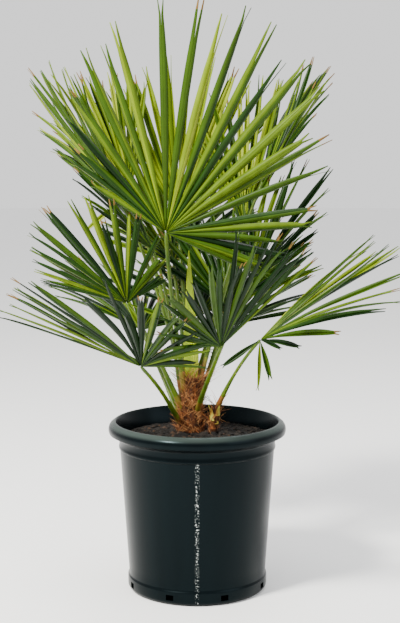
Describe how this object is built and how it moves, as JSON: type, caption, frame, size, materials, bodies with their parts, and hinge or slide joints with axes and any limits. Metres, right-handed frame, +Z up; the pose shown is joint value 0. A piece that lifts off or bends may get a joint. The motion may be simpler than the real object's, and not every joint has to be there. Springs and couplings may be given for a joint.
{
  "type": "potted european fan palm",
  "caption": "Small potted fan palm: a short fibrous trunk, an offshoot and stiff folded fan leaves on slim stalks, in a round black nursery pot filled with soil.",
  "frame": {"origin": "on the floor under the middle of the pot's flat underside", "axes": "+Z up, +X to the right of the picture, +Y to the back"},
  "size_m": [0.6974, 0.7353, 1.0405],
  "materials": {
    "pot": "black moulded plastic with a soft sheen",
    "soil": "dark crumbly bark compost",
    "trunk": "brown fibres and old leaf bases",
    "offshoot": "brown and orange sheaths",
    "spear": "bright yellow green, satin",
    "petioles": "green, satin",
    "blades": "yellow green to dark green, satin"
  },
  "bodies": {
    "root": {"blade_back_left_low": "blades", "blade_back_left_tall": "blades", "blade_back_low": "blades", "blade_back_mid": "blades", "blade_back_right": "blades", "blade_back_right_low": "blades", "blade_back_tall": "blades", "blade_front_left_low": "blades", "blade_front_right_low": "blades", "blade_front_tall": "blades", "blade_left_back": "blades", "blade_left_mid": "blades", "blade_left_tall": "blades", "blade_middle_low": "blades", "blade_right_low": "blades", "blade_right_mid": "blades", "blade_right_tall": "blades", "offshoot": "offshoot", "petiole_back_left_low": "petioles", "petiole_back_left_tall": "petioles", "petiole_back_low": "petioles", "petiole_back_mid": "petioles", "petiole_back_right": "petioles", "petiole_back_right_low": "petioles", "petiole_back_tall": "petioles", "petiole_front_left_low": "petioles", "petiole_front_right_low": "petioles", "petiole_front_tall": "petioles", "petiole_left_back": "petioles", "petiole_left_mid": "petioles", "petiole_left_tall": "petioles", "petiole_middle_low": "petioles", "petiole_right_low": "petioles", "petiole_right_mid": "petioles", "petiole_right_tall": "petioles", "pot": "pot", "soil": "soil", "spear_leaf": "spear", "trunk": "trunk"}
  },
  "joints": []
}
